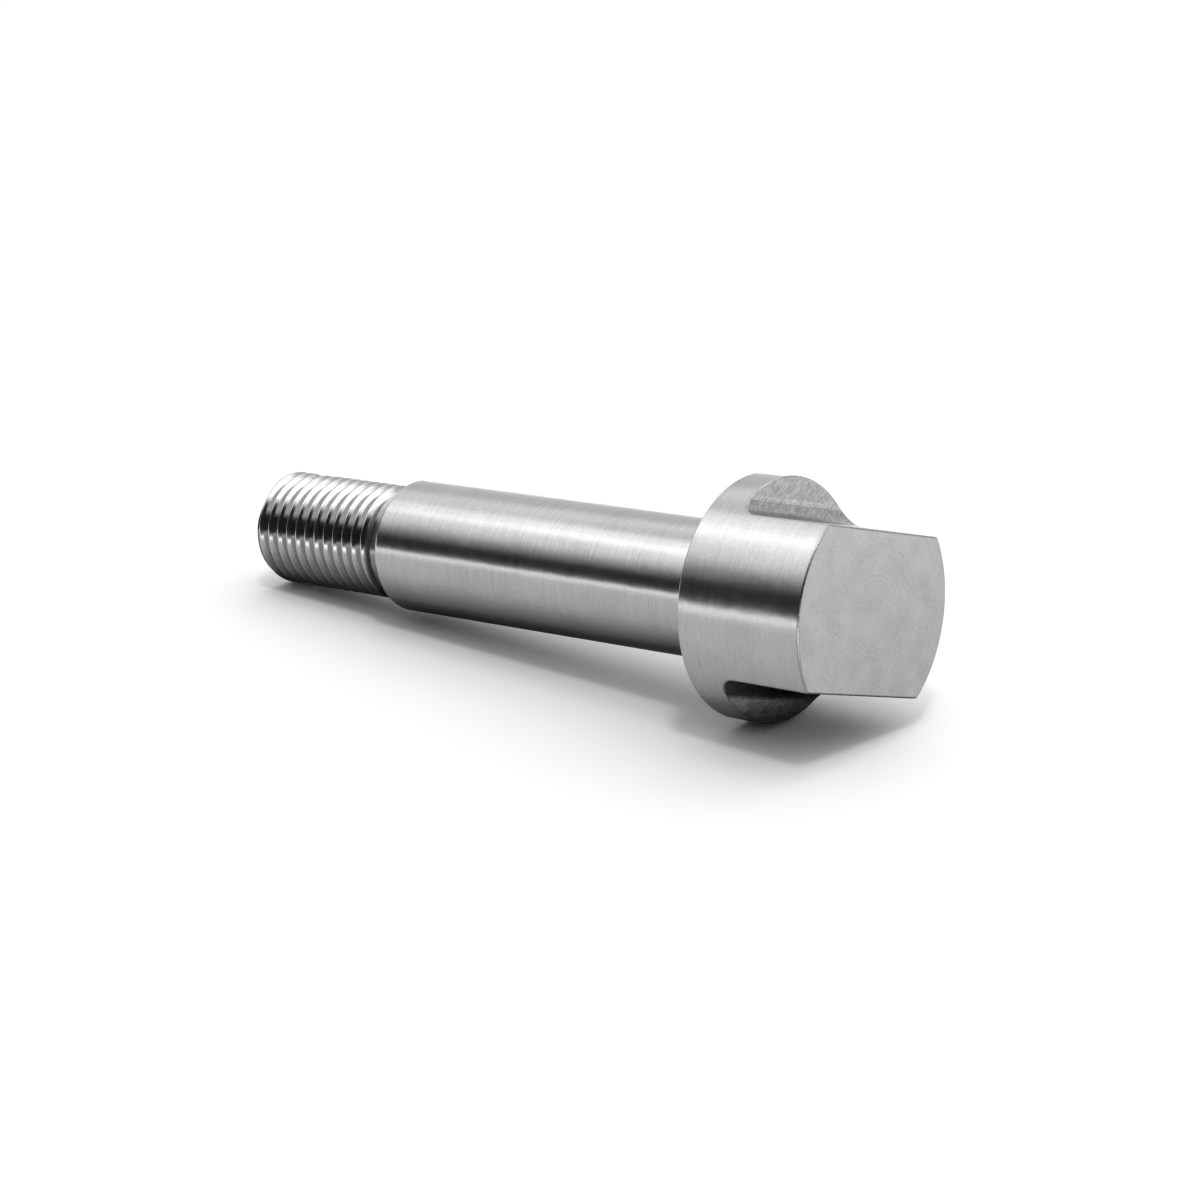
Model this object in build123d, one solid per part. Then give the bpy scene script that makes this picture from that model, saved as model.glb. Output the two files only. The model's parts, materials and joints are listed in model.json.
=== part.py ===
from build123d import *
from math import radians, sqrt, tan
import os

# Actuator pin, turned and milled from one bar of stainless steel.
# Lengths are in millimetres and angles in degrees.
# The pin is first made on its own axis, Z: the front face of the head is at
# Z = 0, the thread's tip is at Z = overall_length, and the two milled flats
# face +Y and -Y. At the end it is turned over, to stand on the thread's tip.

# Head and flange
head_diameter = 31.75
flats_width = 20.75
flats_length = 13.9
flats_corner_radius = 2.4
flats_edge_break = 0.25
face_edge_break = 0.25
flange_thickness = 4.75
flange_edge_break = 0.2

# Shank between the flange and the thread
shank_diameter = 18.3
shank_length = 58.3
shank_root_chamfer = 0.5
shank_taper_length = 2.6
shank_taper_angle = 30

# Thread, right-handed, 60 degree form, 14 turns to the inch
inch = 25.4
thread_diameter = 5 / 8 * inch
thread_pitch = inch / 14
thread_length = 21.95
thread_angle = 60
thread_tip_chamfer = 0.8
thread_start_angle = 253

# Relief groove where the threading tool runs out behind the shank
relief_width = 0.7
relief_below_thread_root = 0.1
relief_exit_angle = 75

# Split pin hole through the thread, square to the flats
split_pin_hole_diameter = 2.8
split_pin_hole_from_tip = 4.8
split_pin_hole_chamfer = 0.2

# Radii and places along the axis that follow from the sizes above
head_radius = head_diameter / 2
shank_radius = shank_diameter / 2
thread_radius = thread_diameter / 2
flange_back = flats_length + flange_thickness
taper_start = flange_back + shank_length
taper_end = taper_start + shank_taper_length
taper_end_radius = shank_radius - shank_taper_length * tan(radians(shank_taper_angle))
relief_end = taper_end + relief_width
overall_length = relief_end + thread_length

# Thread form: a sharp triangle as high as sharp_height, with an eighth of
# the pitch left flat on the crest and another eighth flat in the root
flank_slope = tan(radians(thread_angle / 2))
sharp_height = thread_pitch / 2 / flank_slope
crest_flat = thread_pitch / 8
root_flat = thread_pitch / 8
thread_depth = sharp_height * (1 - (crest_flat + root_flat) / thread_pitch)
thread_root_radius = thread_radius - thread_depth
relief_radius = thread_root_radius - relief_below_thread_root

# The groove of the thread starts in the open relief, beside the shank
thread_start = taper_end


def turned_head_and_shank():
    """Revolve the lathe profile of the head, the flange and the shank."""
    with BuildPart() as turned:
        with BuildSketch(Plane.XZ):
            with BuildLine():
                Polyline(
                    (0, 0),
                    (head_radius, 0),
                    (head_radius, flange_back - flange_edge_break),
                    (head_radius - flange_edge_break, flange_back),
                    (shank_radius + shank_root_chamfer, flange_back),
                    (shank_radius, flange_back + shank_root_chamfer),
                    (shank_radius, taper_start),
                    (taper_end_radius, taper_end),
                    (0, taper_end),
                    close=True,
                )
            make_face()
        revolve(axis=Axis.Z)
    return turned.part


def flat_cutter():
    """The metal milled off the +Y side: a flat, a step and the fillet between."""
    flat_height = flats_width / 2
    outside = head_radius + 1
    in_front = -1
    with BuildPart() as cutter:
        with BuildSketch(Plane.YZ):
            with BuildLine():
                Polyline(
                    (flat_height + flats_corner_radius, flats_length),
                    (outside, flats_length),
                    (outside, in_front),
                    (flat_height, in_front),
                    (flat_height, flats_length - flats_corner_radius),
                )
                CenterArc(
                    (flat_height + flats_corner_radius, flats_length - flats_corner_radius),
                    flats_corner_radius,
                    90,
                    90,
                )
            make_face()
        extrude(amount=outside, both=True)
    return cutter.part


def mill_flats(blank):
    """Mill the two flats and break the sharp edges that they leave."""
    for turn in (0, 180):
        blank -= Rotation(0, 0, turn) * flat_cutter()
    flat_edge_reach = sqrt(head_radius**2 - (flats_width / 2) ** 2)
    long_edges = [
        edge
        for edge in blank.edges().filter_by(Axis.Z)
        if abs(abs(edge.center().X) - flat_edge_reach) < flats_edge_break
    ]
    blank = chamfer(long_edges, flats_edge_break)
    front_edges = blank.faces().sort_by(Axis.Z)[0].edges()
    return chamfer(front_edges, face_edge_break)


def thread_groove():
    """The helical groove between the crests, from the relief to past the tip."""
    overcut = thread_pitch / 20
    outer_reach = thread_radius - thread_root_radius + overcut
    outer_half_width = root_flat / 2 + outer_reach * flank_slope
    helix_height = overall_length + thread_pitch - thread_start
    path = Helix(pitch=thread_pitch, height=helix_height, radius=thread_root_radius)
    with BuildPart() as groove:
        with BuildSketch(Plane(origin=path @ 0, x_dir=(1, 0, 0), z_dir=path % 0)):
            with BuildLine():
                Polyline(
                    (0, -root_flat / 2),
                    (outer_reach, -outer_half_width),
                    (outer_reach, outer_half_width),
                    (0, root_flat / 2),
                    close=True,
                )
            make_face()
        sweep(path=path, is_frenet=True)
    return Pos(0, 0, thread_start) * Rotation(0, 0, thread_start_angle) * groove.part


def threaded_end():
    """Cut the thread in an overlong rod, then turn its relief and its tip."""
    rod_start = taper_end - 2 * thread_pitch
    rod_length = overall_length + 3 * thread_pitch - rod_start
    rod = Pos(0, 0, rod_start + rod_length / 2) * Cylinder(thread_radius, rod_length)
    margin = thread_pitch
    exit_rise = (thread_radius + margin - relief_radius) / tan(radians(relief_exit_angle))
    with BuildPart() as turned_shape:
        with BuildSketch(Plane.XZ):
            with BuildLine():
                Polyline(
                    (0, taper_end),
                    (relief_radius, taper_end),
                    (relief_radius, relief_end),
                    (thread_radius + margin, relief_end + exit_rise),
                    (thread_radius + margin, overall_length - thread_tip_chamfer - margin),
                    (thread_radius - thread_tip_chamfer, overall_length),
                    (0, overall_length),
                    close=True,
                )
            make_face()
        revolve(axis=Axis.Z)
    return (rod - thread_groove()) & turned_shape.part


def split_pin_drill():
    """The drill for the cross hole, with a countersink for each mouth."""
    hole_radius = split_pin_hole_diameter / 2
    mouth_height = sqrt(thread_radius**2 - hole_radius**2)
    sink_height = thread_radius - mouth_height + split_pin_hole_chamfer
    drill = Cylinder(hole_radius, head_diameter)
    for turn in (0, 180):
        sink = Cone(hole_radius, hole_radius + sink_height, sink_height)
        sink_middle = thread_radius - sink_height / 2
        drill += Rotation(turn, 0, 0) * Pos(0, 0, sink_middle) * sink
    return Pos(0, 0, overall_length - split_pin_hole_from_tip) * Rotation(90, 0, 0) * drill


pin = mill_flats(turned_head_and_shank())
pin += threaded_end()
pin -= split_pin_drill()
pin = Pos(0, 0, overall_length) * Rotation(0, 180, 0) * pin

os.makedirs("parts", exist_ok=True)
export_step(pin, "parts/actuator_pin.step")
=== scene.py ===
# %% [markdown]
# # An actuator pin in brushed steel
#
# The pin is turned and milled from one bar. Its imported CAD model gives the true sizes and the
# place where it stands, but its round faces are flat facets, which polished metal shows at once.
# This lesson models the same form again in fine steps, gives each tool's work its own finish, and
# lights it as in a small white studio.

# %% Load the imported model
import json
from math import atan2, cos, degrees, pi, radians, sin, sqrt, tan

import bmesh
import bpy
from mathutils import Matrix, Vector


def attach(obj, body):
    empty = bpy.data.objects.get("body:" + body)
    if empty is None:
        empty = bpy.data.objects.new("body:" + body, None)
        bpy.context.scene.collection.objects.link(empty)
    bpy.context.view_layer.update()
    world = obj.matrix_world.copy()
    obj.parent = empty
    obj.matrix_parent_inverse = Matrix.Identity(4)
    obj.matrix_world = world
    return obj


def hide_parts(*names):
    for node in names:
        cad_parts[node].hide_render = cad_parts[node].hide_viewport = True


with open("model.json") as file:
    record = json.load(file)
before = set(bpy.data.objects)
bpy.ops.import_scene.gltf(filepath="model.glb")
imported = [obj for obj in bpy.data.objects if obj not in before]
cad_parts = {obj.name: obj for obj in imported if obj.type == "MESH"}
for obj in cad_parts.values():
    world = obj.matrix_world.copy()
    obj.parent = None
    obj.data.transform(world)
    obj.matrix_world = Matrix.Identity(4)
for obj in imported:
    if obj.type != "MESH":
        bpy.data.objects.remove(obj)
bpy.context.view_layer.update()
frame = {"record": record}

# %% [markdown]
# ## The pin's own axes
#
# A turned part is easiest to model upright on its own axis, in millimetres. The pin's own Z runs
# from the front face of the head to the tip of the thread, and its Y is square to the two milled
# flats. The record's mounts say where these lie on the real pin, so the matrix that puts the
# finished mesh in its place is worked out from them and not fitted by eye.

# %% Place of the pin in the frame
millimetre = 0.001
mounts = {mount["name"]: mount for mount in frame["record"]["mounts"]}

flats_length = 13.9
flange_thickness = 4.75
flange_back = flats_length + flange_thickness

axis_direction = Vector(mounts["shank"]["axis"]).normalized()
flat_normal = Vector(mounts["upper_flat"]["axis"]).normalized()
across_direction = flat_normal.cross(axis_direction)
on_axis = Vector(mounts["shank"]["pos_m"])
seat = Vector(mounts["flange_seat"]["pos_m"])
seat_on_axis = on_axis + axis_direction * (seat - on_axis).dot(axis_direction)
front_centre = seat_on_axis - axis_direction * flange_back * millimetre

turn_to_frame = Matrix((across_direction, flat_normal, axis_direction)).transposed()
pin_place = Matrix.Translation(front_centre) @ (turn_to_frame * millimetre).to_4x4()
print("front face centre:", [round(value, 5) for value in front_centre])

# %% [markdown]
# ## Sizes
#
# These are the sizes of the real pin in millimetres, measured along its axis from the front face.
# The radii of the shank, the thread and the cross hole come from the record.

# %% Sizes of the pin
head_radius = 31.75 / 2
flats_width = 20.75
flats_corner_radius = 2.4
edge_break = 0.25
flange_edge_break = 0.2

shank_radius = mounts["shank"]["dims"]["r_mm"]
shank_length = 58.3
shank_root_chamfer = 0.5
shank_edge_break = 0.15
taper_length = 2.6
taper_angle = radians(30)
taper_edge_break = 0.1
taper_start = flange_back + shank_length
taper_end = taper_start + taper_length
taper_end_radius = shank_radius - taper_length * tan(taper_angle)

thread_radius = mounts["thread"]["dims"]["r_mm"]
thread_length = mounts["thread"]["dims"]["length_mm"]
thread_pitch = 25.4 / 14
thread_slope = tan(radians(30))
thread_tip_chamfer = 0.8
thread_start_angle = radians(253)
sharp_height = thread_pitch / 2 / thread_slope
thread_root_radius = thread_radius - sharp_height * 3 / 4
crest_flat = thread_pitch / 8
root_flat = thread_pitch / 8

relief_width = 0.7
relief_radius = thread_root_radius - 0.1
relief_exit_angle = radians(75)
relief_end = taper_end + relief_width
overall_length = relief_end + thread_length

hole_radius = mounts["split_pin_hole"]["dims"]["r_mm"]
hole_from_tip = 4.8
hole_chamfer = 0.2
print("overall length:", round(overall_length, 3), "mm")

# %% [markdown]
# ## Turning
#
# On a lathe a tool follows an outline while the bar spins, and a spin of a line does the same.
# Small corners of the outline are bevelled first, as points of a line, so that the spun edge
# catches a thin highlight. The last step of a full spin is merged with the first, and the points
# on the axis become one.

# %% A helper that turns an outline
merge_distance = 0.0005
break_segments = 3


def turned(outline, steps, first_angle=0.0, corner_breaks=()):
    """Spin a line of (radius, height) points round Z, with some of its corners broken."""
    shape = bmesh.new()
    points = [shape.verts.new((radius, 0, height)) for radius, height in outline]
    for start, end in zip(points, points[1:]):
        shape.edges.new((start, end))
    for number, size in corner_breaks:
        bmesh.ops.bevel(
            shape, geom=[points[number]], offset=size, offset_type="OFFSET",
            affect="VERTICES", segments=break_segments, profile=0.5, material=-1,
        )
    bmesh.ops.rotate(shape, verts=shape.verts[:], matrix=Matrix.Rotation(first_angle, 3, "Z"))
    bmesh.ops.spin(
        shape, geom=shape.verts[:] + shape.edges[:], cent=(0, 0, 0), axis=(0, 0, 1),
        angle=2 * pi, steps=steps, use_merge=True,
    )
    bmesh.ops.remove_doubles(shape, verts=shape.verts[:], dist=merge_distance)
    bmesh.ops.recalc_face_normals(shape, faces=shape.faces[:])
    return shape


# %% Turn the head, the flange and the shank
turning_steps = 168
half_step = pi / turning_steps
blank = turned(
    [
        (0, 0),
        (head_radius, 0),
        (head_radius, flange_back),
        (shank_radius + shank_root_chamfer, flange_back),
        (shank_radius, flange_back + shank_root_chamfer),
        (shank_radius, taper_start),
        (taper_end_radius, taper_end),
        (0, taper_end),
    ],
    turning_steps,
    first_angle=half_step,
    corner_breaks=[(2, flange_edge_break), (5, shank_edge_break), (6, taper_edge_break)],
)
print("turned blank:", len(blank.faces), "faces")

# %% [markdown]
# ## Milling the flats
#
# An end mill with rounded corners takes the metal off above and below the head, and leaves two
# flats, a step against the flange and a fillet between them. The cutter's outline is one face with
# a bevelled corner, extruded wider than the head. A Boolean takes it from the blank, and because
# the cutter has its own material slot, the cut faces keep the milled finish.

# %% Material slots, one for each way that the steel was worked
TURNED = 0
MILLED = 1
THREADED = 2
FACED = 3
SHADED_EDGE = 4
finish_names = ("turned_steel", "milled_steel", "thread_steel", "faced_steel", "edge_steel")
finishes = [bpy.data.materials.new(name) for name in finish_names]


def as_object(shape, name, finish=TURNED):
    """An object with the given shape, all of it in one finish."""
    for face in shape.faces:
        face.material_index = finish
        face.smooth = True
    mesh = bpy.data.meshes.new(name)
    shape.to_mesh(mesh)
    shape.free()
    for material in finishes:
        mesh.materials.append(material)
    piece = bpy.data.objects.new(name, mesh)
    bpy.context.collection.objects.link(piece)
    return piece


def combine(piece, tool, operation):
    """Apply a Boolean with a tool object, and remove the tool."""
    boolean = piece.modifiers.new(operation, "BOOLEAN")
    boolean.operation = operation
    boolean.solver = "EXACT"
    boolean.object = tool
    depsgraph = bpy.context.evaluated_depsgraph_get()
    shaped = bpy.data.meshes.new_from_object(piece.evaluated_get(depsgraph))
    piece.modifiers.clear()
    piece.data = shaped
    bpy.data.objects.remove(tool)


# %% Mill both flats
pin = as_object(blank, "pin")
clearance = 3.0
outside = head_radius + clearance
fillet_steps = 12
flat_height = flats_width / 2


def flat_cutter(side):
    """The metal above one flat: a box with its inner corner rounded, on side 1 or -1."""
    shape = bmesh.new()
    outline = [
        (flat_height, -clearance),
        (outside, -clearance),
        (outside, flats_length),
        (flat_height, flats_length),
    ]
    points = [shape.verts.new((-outside, height * side, along)) for height, along in outline]
    shape.faces.new(points)
    bmesh.ops.bevel(
        shape, geom=[points[3]], offset=flats_corner_radius, offset_type="OFFSET",
        affect="VERTICES", segments=fillet_steps, profile=0.5, material=-1,
    )
    wide = bmesh.ops.extrude_face_region(shape, geom=shape.faces[:])
    moved = [part for part in wide["geom"] if isinstance(part, bmesh.types.BMVert)]
    bmesh.ops.translate(shape, verts=moved, vec=(2 * outside, 0, 0))
    bmesh.ops.recalc_face_normals(shape, faces=shape.faces[:])
    return as_object(shape, "flat_cutter", MILLED)


for side in (1, -1):
    combine(pin, flat_cutter(side), "DIFFERENCE")
print("with its flats:", len(pin.data.polygons), "faces")

# %% [markdown]
# ## Breaking the sharp edges
#
# Every edge that the cutter leaves is sharp, so it is broken by hand with a fine file. The breaks
# are what draws the bright line round the pockets and round the front face. The edges are found
# by the finishes on their two sides, and one bevel rounds them all. The new faces round the front
# face get a finish of their own with a darkened colour, a thin dark line of painted shade.

# %% Break the edges of the flats and of the front face
sliver_length = 0.01
stray_distance = 0.02
sharp_angle = radians(20)
facing_aside = 0.1
facing_ahead = 0.99

shape = bmesh.new()
shape.from_mesh(pin.data)
for face in shape.faces:
    if face.calc_center_median().z < merge_distance:
        face.material_index = FACED
bmesh.ops.dissolve_degenerate(shape, edges=shape.edges[:], dist=sliver_length)
bmesh.ops.remove_doubles(shape, verts=shape.verts[:], dist=stray_distance)
sharp_edges = [
    edge for edge in shape.edges
    if len(edge.link_faces) == 2
    and edge.link_faces[0].material_index != edge.link_faces[1].material_index
    and edge.calc_face_angle() > sharp_angle
]
bmesh.ops.bevel(
    shape, geom=sharp_edges, offset=edge_break, offset_type="OFFSET",
    affect="EDGES", segments=break_segments, profile=0.5, material=-1, clamp_overlap=False,
)
front_edge = [
    face for face in shape.faces
    if face.calc_center_median().z < edge_break
    and facing_aside < -face.normal.normalized().z < facing_ahead
]
# Painted shade: these faces get a darkened colour, a dark line round the front face.
for face in front_edge:
    face.material_index = SHADED_EDGE
shape.to_mesh(pin.data)
shape.free()
print("edges broken:", len(sharp_edges), "and", len(front_edge), "faces round the front face")

# %% [markdown]
# ## The thread
#
# A thread is one outline swept round the axis while it climbs. The outline is one pitch long:
# half a root, a flank, the crest, the other flank and the other half root. A spin with a small
# step along the axis makes every turn meet the one before, and two plane cuts trim the ends. The
# rod is longer than needed, because the thread runs out in a turned relief and a turned chamfer,
# which come next.

# %% Cut a long threaded rod
steps_in_turn = 120
spare_turns = 4
crest_edge_break = 0.06
rod_in_shank = 0.3
rod_past_tip = 0.5
turns = int(thread_length / thread_pitch) + spare_turns
groove_start = taper_end - 2 * thread_pitch

thread = bmesh.new()
outline = [
    (thread_root_radius, 0),
    (thread_root_radius, root_flat / 2),
    (thread_radius, (thread_pitch - crest_flat) / 2),
    (thread_radius, (thread_pitch + crest_flat) / 2),
    (thread_root_radius, thread_pitch - root_flat / 2),
    (thread_root_radius, thread_pitch),
]
points = [thread.verts.new((radius, 0, groove_start + along)) for radius, along in outline]
for start, end in zip(points, points[1:]):
    thread.edges.new((start, end))
bmesh.ops.bevel(
    thread, geom=points[2:4], offset=crest_edge_break, offset_type="OFFSET",
    affect="VERTICES", segments=2, profile=0.5, material=-1,
)
bmesh.ops.rotate(thread, verts=thread.verts[:], matrix=Matrix.Rotation(thread_start_angle, 3, "Z"))
bmesh.ops.spin(
    thread, geom=thread.verts[:] + thread.edges[:], cent=(0, 0, 0), axis=(0, 0, 1),
    dvec=(0, 0, thread_pitch / steps_in_turn), angle=2 * pi * turns, steps=steps_in_turn * turns,
    use_merge=False,
)
bmesh.ops.remove_doubles(thread, verts=thread.verts[:], dist=merge_distance)
for height, keep in ((taper_end - rod_in_shank, 1), (overall_length + rod_past_tip, -1)):
    bmesh.ops.bisect_plane(
        thread, geom=thread.verts[:] + thread.edges[:] + thread.faces[:], dist=merge_distance,
        plane_co=(0, 0, height), plane_no=(0, 0, keep), clear_inner=True,
    )
open_edges = [edge for edge in thread.edges if edge.is_boundary]
bmesh.ops.holes_fill(thread, edges=open_edges, sides=0)
bmesh.ops.recalc_face_normals(thread, faces=thread.faces[:])
lowest = min(vert.co.z for vert in thread.verts)
highest = max(vert.co.z for vert in thread.verts)
still_open = sum(1 for edge in thread.edges if not edge.is_manifold)
print("threaded rod from", round(lowest, 2), "to", round(highest, 2), "mm, open edges:", still_open)
rod = as_object(thread, "threaded_rod", THREADED)

# %% [markdown]
# ## The relief and the tip
#
# Behind the shank the threading tool runs out in a narrow relief groove, and the first turn at the
# tip is chamfered so that a nut starts easily. Both are turned after the thread is cut. The turned
# outline is a solid of its own, and what the rod and that solid share is the finished thread. It
# starts a little inside the shank, so that the union has no faces that lie on each other.

# %% Turn the relief and the chamfered tip, and join the thread to the pin
joint_in_shank = 0.2
margin = thread_pitch
exit_rise = (thread_radius + margin - relief_radius) / tan(relief_exit_angle)
envelope = turned(
    [
        (0, taper_end - joint_in_shank),
        (relief_radius, taper_end - joint_in_shank),
        (relief_radius, relief_end),
        (thread_radius + margin, relief_end + exit_rise),
        (thread_radius + margin, overall_length - thread_tip_chamfer - margin),
        (thread_radius - thread_tip_chamfer, overall_length),
        (0, overall_length),
    ],
    steps_in_turn,
)
combine(rod, as_object(envelope, "envelope", THREADED), "INTERSECT")
combine(pin, rod, "UNION")
print("with its thread:", len(pin.data.polygons), "faces")

# %% [markdown]
# ## The cross hole
#
# A split pin goes through the thread near its tip, square to the flats. The drill is turned as
# well: a cylinder that widens at both ends, where it breaks the mouths of the hole.

# %% Drill the cross hole
hole_steps = 48
mouth_height = sqrt(thread_radius**2 - hole_radius**2)
sink = thread_radius - mouth_height + hole_chamfer
drill = turned(
    [
        (0, -thread_radius - clearance),
        (hole_radius + sink, -thread_radius - clearance),
        (hole_radius + sink, -thread_radius),
        (hole_radius, -thread_radius + sink),
        (hole_radius, thread_radius - sink),
        (hole_radius + sink, thread_radius),
        (hole_radius + sink, thread_radius + clearance),
        (0, thread_radius + clearance),
    ],
    hole_steps,
)
bmesh.ops.rotate(drill, verts=drill.verts[:], matrix=Matrix.Rotation(radians(90), 3, "X"))
bmesh.ops.translate(drill, verts=drill.verts[:], vec=(0, 0, overall_length - hole_from_tip))
combine(pin, as_object(drill, "drill", THREADED), "DIFFERENCE")
triangles = sum(len(face.vertices) - 2 for face in pin.data.polygons)
print("drilled:", len(pin.data.polygons), "faces,", triangles, "triangles")

# %% [markdown]
# ## Putting the pin in its place
#
# The mesh is shrunk to metres and put where the CAD part stands, with its place in the mesh, so
# its object stays at the origin. Edges sharper than 35 degrees stay crisp, and a Weighted Normal
# modifier lets the large faces keep their own direction, so that only the breaks look round.

# %% Stand it up and hand it to the frame
crisp_angle = radians(35)
shape = bmesh.new()
shape.from_mesh(pin.data)
bmesh.ops.remove_doubles(shape, verts=shape.verts[:], dist=merge_distance)
bmesh.ops.transform(shape, matrix=pin_place, verts=shape.verts[:])
bmesh.ops.recalc_face_normals(shape, faces=shape.faces[:])
for face in shape.faces:
    face.smooth = True
shape.to_mesh(pin.data)
shape.free()
pin.data.set_sharp_from_angle(angle=crisp_angle)
weighted = pin.modifiers.new("even_faces", "WEIGHTED_NORMAL")
weighted.keep_sharp = True
pin.name = "turned_pin"
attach(pin, "root")
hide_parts("actuator_pin")
print("the pin has", len(pin.data.vertices), "points")

# %% [markdown]
# ## Shader maths in Python
#
# Each finish is a small sum of waves and noise. One class wraps an output of a node, so that the
# sums can be written as Python expressions, and one method makes every other node.

# %% A class for numbers in a material


class Number:
    """A number that varies over a surface, made of nodes, for use in Python sums."""

    def __init__(self, nodes, socket):
        self.nodes = nodes
        self.socket = socket

    def maths(self, operation, *inputs):
        return self.nodes.make("ShaderNodeMath", {"operation": operation}, dict(enumerate(inputs)))

    def __add__(self, other):
        return self.maths("ADD", self, other)

    def __radd__(self, other):
        return self.maths("ADD", other, self)

    def __sub__(self, other):
        return self.maths("SUBTRACT", self, other)

    def __rsub__(self, other):
        return self.maths("SUBTRACT", other, self)

    def __mul__(self, other):
        return self.maths("MULTIPLY", self, other)

    def __rmul__(self, other):
        return self.maths("MULTIPLY", other, self)

    def __abs__(self):
        return self.maths("ABSOLUTE", self)

    def to(self, other, part):
        """This number where part is 0, the other one where part is 1, and a mix between."""
        return self * (1 - part) + other * part

    def rise(self, start, end):
        """0 below start, 1 above end and a smooth rise between them."""
        settings = {"interpolation_type": "SMOOTHSTEP"}
        return self.nodes.make(
            "ShaderNodeMapRange", settings, {"Value": self, "From Min": start, "From Max": end}
        )


class Nodes:
    """The nodes of one material or world."""

    def __init__(self, owner):
        owner.use_nodes = True
        self.tree = owner.node_tree
        self.tree.nodes.clear()

    def make(self, kind, settings=None, inputs=None, output=0):
        """Add a node: its settings first, then the values or links of its sockets."""
        node = self.tree.nodes.new(kind)
        for name, value in (settings or {}).items():
            setattr(node, name, value)
        for name, value in (inputs or {}).items():
            if isinstance(value, Number):
                self.tree.links.new(value.socket, node.inputs[name])
            else:
                node.inputs[name].default_value = value
        return Number(self, node.outputs[output]) if node.outputs else node


# %% [markdown]
# ## Reading a place on the pin
#
# All five finishes read the same place on the pin: Object coordinates, turned by a Mapping node
# back to the pin's own axes and counted in millimetres. Noise that is stretched along one axis
# looks like the marks of a tool that moved that way, and it needs no image.

# %% Helpers for places and noise


def own_place(nodes, turn, origin):
    """Object coordinates in millimetres on other axes, whose turn and origin the frame gives."""
    turn_back = turn.transposed()
    return nodes.make(
        "ShaderNodeMapping",
        {"vector_type": "POINT"},
        {
            "Vector": nodes.make("ShaderNodeTexCoord", output="Object"),
            "Location": -(turn_back @ origin) / millimetre,
            "Rotation": turn_back.to_euler("XYZ"),
            "Scale": (1 / millimetre, 1 / millimetre, 1 / millimetre),
        },
    )


def turned_place(nodes, place, angle):
    """A place turned about the pin's own axis, for marks that run at a slant."""
    return nodes.make(
        "ShaderNodeMapping", {"vector_type": "POINT"}, {"Vector": place, "Rotation": (0, 0, angle)}
    )


def noise(nodes, place, stretch, detail=2.0, roughness=0.5):
    """Noise from 0 to 1, with so many features in a millimetre along each axis."""
    scaled = nodes.make(
        "ShaderNodeVectorMath", {"operation": "MULTIPLY"}, {0: place, 1: stretch}
    )
    return nodes.make(
        "ShaderNodeTexNoise",
        {"noise_dimensions": "3D"},
        {"Vector": scaled, "Scale": 1.0, "Detail": detail, "Roughness": roughness},
    )


# %% [markdown]
# ## Bare steel
#
# Steel has no paint: it is a metal all over, and a finish only changes how light, how dull and how
# uneven it is. So one helper makes the shader, between a dark and a light steel, and each finish
# gives it three sums. The bump is at most some hundredths of a millimetre high, as real marks are.

# %% A helper for bare steel
dark_steel = (0.28, 0.28, 0.285, 1.0)
light_steel = (0.62, 0.62, 0.625, 1.0)


def steel(nodes, lightness, roughness, bump_height, bump_distance):
    """Bare steel between dark and light, with a bump whose distance is in millimetres."""
    colour = nodes.make(
        "ShaderNodeMix",
        {"data_type": "RGBA", "clamp_factor": True},
        {"Factor": lightness, "A": dark_steel, "B": light_steel},
        output="Result",
    )
    bump = nodes.make(
        "ShaderNodeBump",
        {},
        {"Height": bump_height, "Strength": 1.0, "Distance": bump_distance * millimetre},
    )
    surface = nodes.make(
        "ShaderNodeBsdfPrincipled",
        {},
        {"Base Color": colour, "Metallic": 1.0, "Roughness": roughness, "Normal": bump},
    )
    nodes.make("ShaderNodeOutputMaterial", {}, {"Surface": surface})
    print("steel finish of", len(nodes.tree.nodes), "nodes")


# %% [markdown]
# ## Turned finish
#
# A lathe tool leaves fine rings round the head, the flange and the shank, and polishing crosses
# them with a faint weave along the axis. Rings and short streaks are noise that changes quickly
# along the axis and slowly round it. Large soft patches bend the reflections a little, as hand
# polishing does.

# %% Turned finish: rings round the axis, short streaks and a weave along it
nodes = Nodes(finishes[TURNED])
place = own_place(nodes, turn_to_frame, front_centre)
rings = noise(nodes, place, (0.08, 0.08, 3.5), detail=4.0, roughness=0.7)
streaks = noise(nodes, place, (0.3, 0.3, 6.5), detail=2.0)
weave = noise(nodes, place, (4.5, 4.5, 1.6), detail=2.0)
patches = noise(nodes, place, (0.22, 0.22, 0.14), detail=2.0)
marks = (rings - 0.5) * 0.45 + (streaks - 0.5) * 0.45 + (weave - 0.5) * 0.35
lightness = 0.5 + marks + (patches - 0.5) * 0.25
roughness = 0.09 + rings * 0.12 + patches * 0.06
relief = rings * 0.8 + streaks * 0.35 + weave * 0.3 + patches * 9
steel(nodes, lightness, roughness, relief, 0.005)

# %% [markdown]
# ## Milled finish
#
# The end mill's teeth leave slanted marks on the flats, the fillets and the steps, over a mottled
# ground. The marks are noise stretched along a slanted line, and they are deeper than those of
# the lathe. The ground stays glossy enough that the fillets mirror the room in bands.

# %% Milled finish: slanted marks of the cutter's teeth over a mottled ground
tooth_angle = radians(38)
nodes = Nodes(finishes[MILLED])
place = own_place(nodes, turn_to_frame, front_centre)
slanted = turned_place(nodes, place, tooth_angle)
tooth_marks = noise(nodes, slanted, (0.7, 4.6, 0.7), detail=3.0, roughness=0.6)
grain = noise(nodes, place, (4.0, 4.0, 4.0), detail=2.0)
mottle = noise(nodes, place, (0.9, 0.9, 0.9), detail=3.0)
lightness = 0.26 + (tooth_marks - 0.5) * 1.4 + (grain - 0.5) * 1.2 + (mottle - 0.5) * 0.6
roughness = 0.13 + grain * 0.12 + mottle * 0.08
steel(nodes, lightness, roughness, tooth_marks + grain * 0.4, 0.022)
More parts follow.
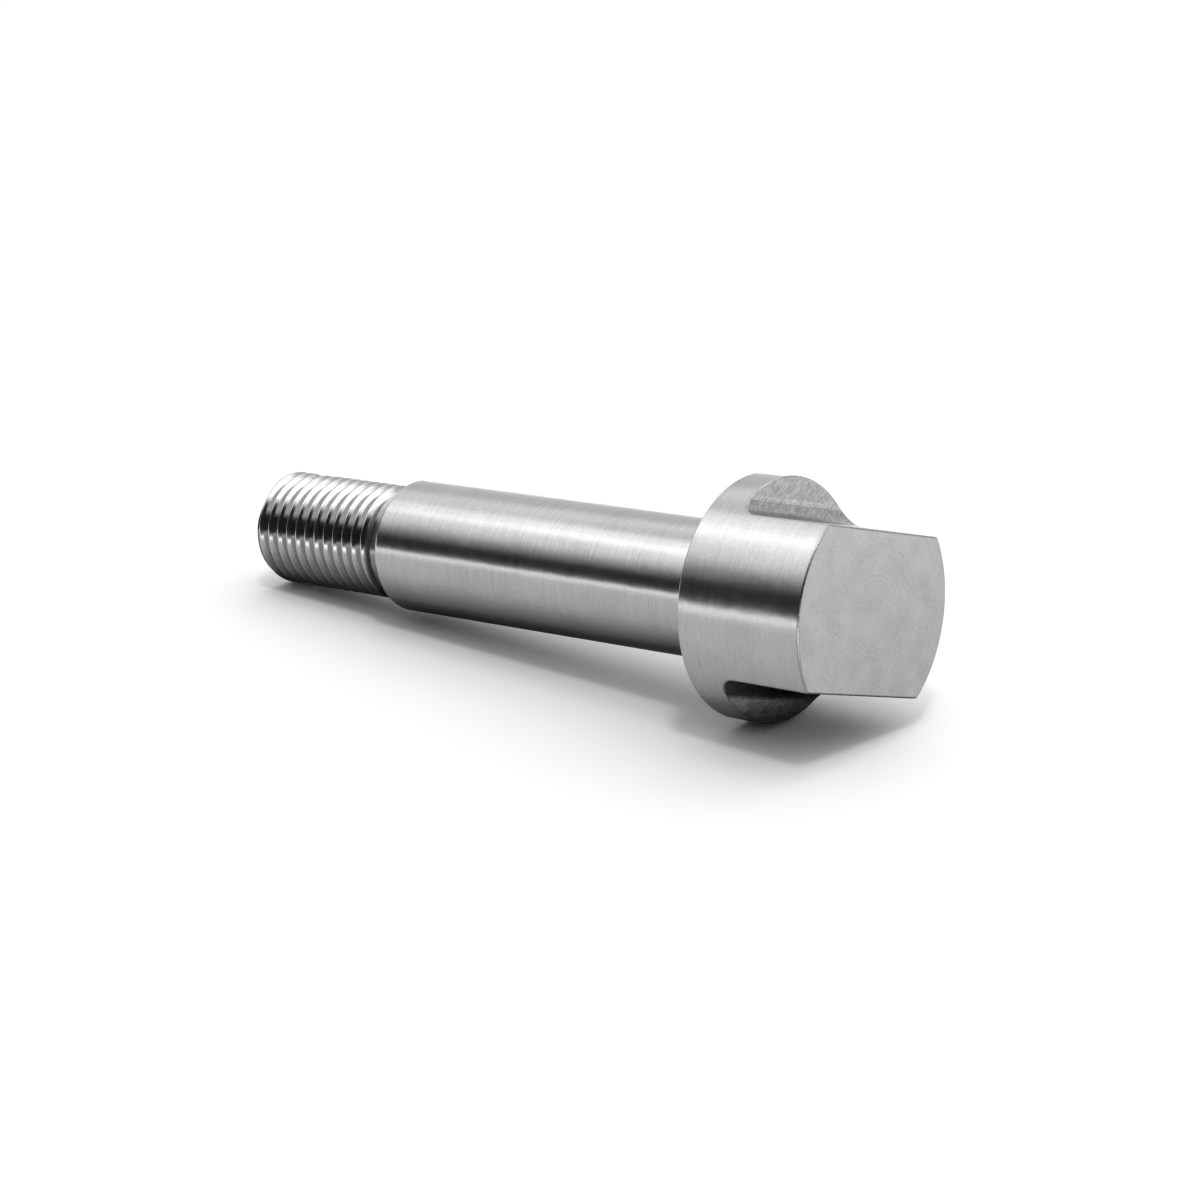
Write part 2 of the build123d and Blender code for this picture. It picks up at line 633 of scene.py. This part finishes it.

# %% [markdown]
# ## Thread finish
#
# A sharp threading tool leaves clean bright flanks, with only faint rings. The relief groove
# behind the shank is duller, and its colour is darkened there, up to the first turns, as painted
# shade in the recess.

# %% Thread finish: clean flanks, and painted shade in the relief
relief_blend = 0.15
first_turns = 0.5
nodes = Nodes(finishes[THREADED])
place = own_place(nodes, turn_to_frame, front_centre)
rings = noise(nodes, place, (0.3, 0.3, 8.0), detail=2.0)
grain = noise(nodes, place, (3.0, 3.0, 3.0), detail=2.0)
own_z = nodes.make("ShaderNodeSeparateXYZ", {}, {"Vector": place}, output="Z")
past_shank = own_z.rise(taper_end - relief_blend, taper_end)
in_relief = past_shank * (1 - own_z.rise(relief_end, relief_end + first_turns))
# Painted shade: the colour is darkened in the relief groove.
lightness = (0.5 + (rings - 0.5) * 0.4 + (grain - 0.5) * 0.3) - in_relief * 1.1
roughness = 0.1 + rings * 0.08 + in_relief * 0.3
steel(nodes, lightness, roughness, rings, 0.003)

# %% [markdown]
# ## Faced finish
#
# The front face was cut by a tool that moved in to the centre, so it has faint circles, and fine
# scratches, grain and a few specks from handling. One-dimensional noise of the distance from the
# centre gives the circles. The face is duller than the rest and mirrors only the floor's glow.

# %% Faced finish: faint circles round the centre, and fine grain
scratch_angle = radians(-30)
nodes = Nodes(finishes[FACED])
place = own_place(nodes, turn_to_frame, front_centre)
flattened = nodes.make("ShaderNodeVectorMath", {"operation": "MULTIPLY"}, {0: place, 1: (1, 1, 0)})
from_centre = nodes.make(
    "ShaderNodeVectorMath", {"operation": "LENGTH"}, {0: flattened}, output="Value"
)
circles = nodes.make(
    "ShaderNodeTexNoise",
    {"noise_dimensions": "1D"},
    {"W": from_centre, "Scale": 3.0, "Detail": 3.0, "Roughness": 0.6},
)
diagonal = turned_place(nodes, place, scratch_angle)
scratches = noise(nodes, diagonal, (0.4, 5.0, 1.0), detail=3.0)
grain = noise(nodes, place, (5.0, 5.0, 5.0), detail=2.0)
clouds = noise(nodes, place, (0.25, 0.25, 0.25), detail=3.0)
specks = noise(nodes, place, (2.6, 2.6, 2.6), detail=0.0).rise(0.76, 0.8)
marks = (circles - 0.5) * 0.35 + (scratches - 0.5) * 0.4
ground = (grain - 0.5) * 0.7 + (clouds - 0.5) * 0.6
lightness = 0.54 + marks + ground - specks * 0.5
relief = circles * 0.7 + scratches * 0.6 + grain * 0.6
steel(nodes, lightness, 0.3 + grain * 0.1, relief, 0.008)

# %% [markdown]
# ## Shaded edge
#
# The break round the front face was filed. Its colour is darkened, as painted shade, to a thin
# dark line between the bright side of the head and the face.

# %% Edge of the front face: painted shade, darker and duller
nodes = Nodes(finishes[SHADED_EDGE])
place = own_place(nodes, turn_to_frame, front_centre)
grain = noise(nodes, place, (3.0, 3.0, 3.0), detail=2.0)
# Painted shade: a very dark steel colour.
steel(nodes, 0.05 + (grain - 0.5) * 0.5, 0.22 + grain * 0.1, grain, 0.01)

# %% [markdown]
# ## The photograph's table
#
# The record stands the pin on its thread, because a lying pin would roll away. The photograph shows
# it on a white table, where it lies on its flange's rim and on the last full turn of its thread. The
# pin isn't moved for that: the table, the camera and the lamps are laid out round it instead, and
# one matrix brings everything from the table's own axes into the frame. Z is square to the table, X
# runs along it towards the head, and the origin is under the middle of the front face.

# %% Place of the table in the frame
pin_roll = radians(17.7)
crest_from_tip = 1.67
rim_place = flange_back - flange_edge_break
crest_place = overall_length - crest_from_tip
dip = atan2(head_radius - thread_radius, crest_place - rim_place)

underside_angle = -pi / 2 - pin_roll
underside = turn_to_frame @ Vector((cos(underside_angle), sin(underside_angle), 0))
table_up = -(underside * cos(dip) + axis_direction * sin(dip))
table_along = (table_up * axis_direction.dot(table_up) - axis_direction).normalized()
table_across = table_up.cross(table_along)
table_turn = Matrix((table_along, table_across, table_up)).transposed()
face_height = (head_radius * cos(dip) + rim_place * sin(dip)) * millimetre
table_origin = front_centre - table_up * face_height
print("the axis dips", round(degrees(dip), 2), "degrees to the table")


def on_table(place):
    """A place in millimetres on the table's axes, in the frame."""
    return table_origin + table_turn @ Vector(place) * millimetre


# %% [markdown]
# ## The camera
#
# The photograph is 1200 pixels square. Its camera was solved from the outlines of the pin: a long
# lens, low over the table, that looks past the front face along the shank.

# %% Camera
photo_size = 1200
focal_pixels = 3148.9
camera_target = on_table((-45.156, 1.207, 8.862))
camera_distance = 421.5 * millimetre
camera_azimuth = radians(-50.377)
camera_elevation = radians(19.383)
camera_roll = radians(0.11)

sight = Vector((
    -cos(camera_elevation) * cos(camera_azimuth),
    -cos(camera_elevation) * sin(camera_azimuth),
    -sin(camera_elevation),
))
level_aim = sight.to_track_quat("-Z", "Y").to_matrix() @ Matrix.Rotation(camera_roll, 3, "Z")
camera_data = bpy.data.cameras.new("camera")
camera_data.sensor_width = 36.0
camera_data.lens = focal_pixels / photo_size * camera_data.sensor_width
camera_data.clip_start = 0.01
camera_data.clip_end = 50.0
camera = bpy.data.objects.new("camera", camera_data)
bpy.context.collection.objects.link(camera)
camera_place = camera_target - table_turn @ sight * camera_distance
camera.matrix_world = Matrix.LocRotScale(camera_place, table_turn @ level_aim, None)
bpy.context.scene.camera = camera
print("lens:", round(camera_data.lens, 2), "mm")

# %% [markdown]
# ## The table top
#
# The table is a plain white sheet. Seen in the steel, its far part is brighter than the part beside
# the pin, because the wall's light falls there, so rays that come off the steel get a painted glow
# added with the distance, and more of it beside the head. Close under the pin and beneath the front
# face they find the table's colour darkened, a painted shadow of the narrow gap there. From behind,
# where only other views look, the sheet is clear.

# %% Table top
table_size = 6.0
sheet = bmesh.new()
bmesh.ops.create_grid(sheet, x_segments=1, y_segments=1, size=table_size)
table_place = Matrix.Translation(table_origin) @ table_turn.to_4x4()
bmesh.ops.transform(sheet, matrix=table_place, verts=sheet.verts[:])
sheet_mesh = bpy.data.meshes.new("table_top")
sheet.to_mesh(sheet_mesh)
sheet.free()
table_top = bpy.data.objects.new("table_top", sheet_mesh)
bpy.context.collection.objects.link(table_top)
print("table top:", table_size * 2, "m square")

# %% Table top: where the steel finds a painted glow or a painted shadow on it, in millimetres
table_material = bpy.data.materials.new("white_table")
sheet_mesh.materials.append(table_material)
nodes = Nodes(table_material)
on_sheet = own_place(nodes, table_turn, table_origin)
along_sheet = nodes.make("ShaderNodeSeparateXYZ", {}, {"Vector": on_sheet}, output="X")
across_sheet = nodes.make("ShaderNodeSeparateXYZ", {}, {"Vector": on_sheet}, output="Y")
from_face = nodes.make("ShaderNodeVectorMath", {"operation": "LENGTH"}, {0: on_sheet}, output="Value")
far_away = from_face.rise(120, 300)
glow_beside_head = along_sheet.rise(30, 80) * (1 - across_sheet.rise(-28, -14))
shadow_under_pin = 1 - abs(across_sheet).rise(-1, 20)
shadow_under_pin = shadow_under_pin * (1 - along_sheet.rise(2, 14)) * along_sheet.rise(-118, -104)
behind_head = across_sheet.rise(-4, 4) * (1 - across_sheet.rise(20, 34))
shadow_beneath_face = behind_head * along_sheet.rise(-22, -16) * (1 - along_sheet.rise(0, 10))

# %% Table top: its shader
table_white = 0.93
seen = nodes.make("ShaderNodeLightPath", output="Is Camera Ray")
in_steel = nodes.make("ShaderNodeLightPath", output="Is Glossy Ray")
# Painted shadow: for rays off the steel, the colour is darkened under the pin and beneath the face.
level = table_white * (1 + seen * 0.25) * (1 - shadow_under_pin * in_steel * 0.86)
level = level * (1 - shadow_beneath_face * in_steel * 0.85)
colour = nodes.make("ShaderNodeCombineColor", {}, {"Red": level, "Green": level, "Blue": level})
# Painted glow: emission for rays off the steel, far away and beside the head.
brighter = (far_away + glow_beside_head * 2.0) * in_steel
white = nodes.make("ShaderNodeBsdfDiffuse", {}, {"Color": colour})
glow = nodes.make("ShaderNodeEmission", {}, {"Color": (1, 1, 1, 1), "Strength": brighter})
lit = nodes.make("ShaderNodeAddShader", {}, {0: white, 1: glow})
clear = nodes.make("ShaderNodeBsdfTransparent", {}, {})
behind = nodes.make("ShaderNodeNewGeometry", output="Backfacing")
surface = nodes.make("ShaderNodeMixShader", {}, {0: behind, 1: lit, 2: clear})
nodes.make("ShaderNodeOutputMaterial", {}, {"Surface": surface})
print("white table of", len(nodes.tree.nodes), "nodes")

# %% [markdown]
# ## The room
#
# Polished steel shows the room as bands along the pin. In the photograph a white wall stands behind
# the pin, and the camera's side is a dark room that gets brighter upwards, to a soft box as high as
# the pin mirrors. Each direction in the room is a share of height, of the way to the head and so
# on, from -1 to 1, and a share that rises smoothly blends one part of the room into the next.

# %% World: directions in the room
world = bpy.data.worlds.new("studio")
bpy.context.scene.world = world
nodes = Nodes(world)
way = nodes.make("ShaderNodeTexCoord", output="Generated")


def share(direction):
    """How far the looked-at direction goes along a given one on the table's axes."""
    return nodes.make(
        "ShaderNodeVectorMath",
        {"operation": "DOT_PRODUCT"},
        {0: way, 1: table_turn @ Vector(direction)},
        output="Value",
    )


height = share((0, 0, 1))
towards_head = share((1, 0, 0))
backwards = share((0, 1, 0))
towards_viewer = share((cos(camera_azimuth), sin(camera_azimuth), 0))

# %% World: the parts of the room, each as bright as the steel shows it
open_room = 0.03 + height.rise(0.24, 0.42) * 0.38 + height.rise(0.38, 0.6)
open_room = open_room + height.rise(0.6, 0.7) * 0.55
seam = backwards.rise(-0.32, -0.22) * (1 - backwards.rise(-0.16, -0.08)) * height.rise(0.6, 0.66)
dark_room = 0.02 + height.rise(0.54, 0.7) * 1.5
behind_viewer = 0.02 + height.rise(0.74, 0.84) * 1.5
past_head = 0.02 + height.rise(0.42, 0.64) * 2.2 + (1 - height.rise(0.06, 0.11)) * 5.0
ceiling = 1.5
wall = 0.82 + height.rise(0.45, 0.62) * 0.55 - height.rise(0.64, 0.7) * 0.33
lit_wall = wall + height.rise(0.48, 0.6) * 1.2

# %% World: the parts put together
at_head_end = towards_head.rise(0.0, 0.35)
room = (open_room + seam * 0.6).to(dark_room, towards_viewer.rise(0.12, 0.26))
room = room.to(past_head, at_head_end).to(ceiling, height.rise(0.73, 0.8))
room = room.to(behind_viewer, towards_viewer.rise(0.45, 0.6))
room = room.to(wall.to(lit_wall, at_head_end), backwards.rise(-0.02, 0.16))

# %% [markdown]
# ## Daylight on the table
#
# The table itself is lit evenly from above, and from the white wall behind, which lights the gap
# under the head as the photograph shows. The camera sees plain white where it looks past the
# table. Light that the steel throws on the table is kept low, because sharp glints there are only
# noise.

# %% World: what each kind of ray finds
daylight = 0.05 + height.rise(0.4, 0.95) * 0.95 + backwards.rise(0.2, 0.7) * 0.85
in_steel = nodes.make("ShaderNodeLightPath", output="Is Glossy Ray")
after_table = nodes.make("ShaderNodeLightPath", output="Diffuse Depth").rise(0, 1)
seen = nodes.make("ShaderNodeLightPath", output="Is Camera Ray")
strength = daylight.to(room * (1 - after_table * 0.8), in_steel).to(1.0, seen)
background = nodes.make("ShaderNodeBackground", {}, {"Color": (1, 1, 1, 1), "Strength": strength})
nodes.make("ShaderNodeOutputWorld", {}, {"Surface": background})
print("room of", len(nodes.tree.nodes), "nodes")

# %% [markdown]
# ## Lamps
#
# Two soft round lamps hang high over the table, where the steel never mirrors them to the camera.
# The front one gives the short shadow under the head and the other softens it. Their places are in
# millimetres on the table's axes, and both aim at the middle of the pin.

# %% Soft lamps overhead
lamp_aim = Vector((-45, 0, 10))
lamps = {
    "front_lamp": {"place": (480, -520, 1780), "size": 0.28, "energy": 5.6},
    "back_lamp": {"place": (0, 200, 1900), "size": 0.7, "energy": 2.0},
}
for name, lamp in lamps.items():
    lamp_data = bpy.data.lights.new(name, "AREA")
    lamp_data.shape = "DISK"
    lamp_data.size = lamp["size"]
    lamp_data.energy = lamp["energy"]
    lamp_object = bpy.data.objects.new(name, lamp_data)
    bpy.context.collection.objects.link(lamp_object)
    lamp_way = lamp_aim - Vector(lamp["place"])
    lamp_turn = table_turn @ lamp_way.to_track_quat("-Z", "Y").to_matrix()
    lamp_object.matrix_world = Matrix.LocRotScale(on_table(lamp["place"]), lamp_turn, None)
    print(name, "at", round(lamp_way.length), "mm from the pin")
bpy.context.scene.view_settings.view_transform = "Standard"
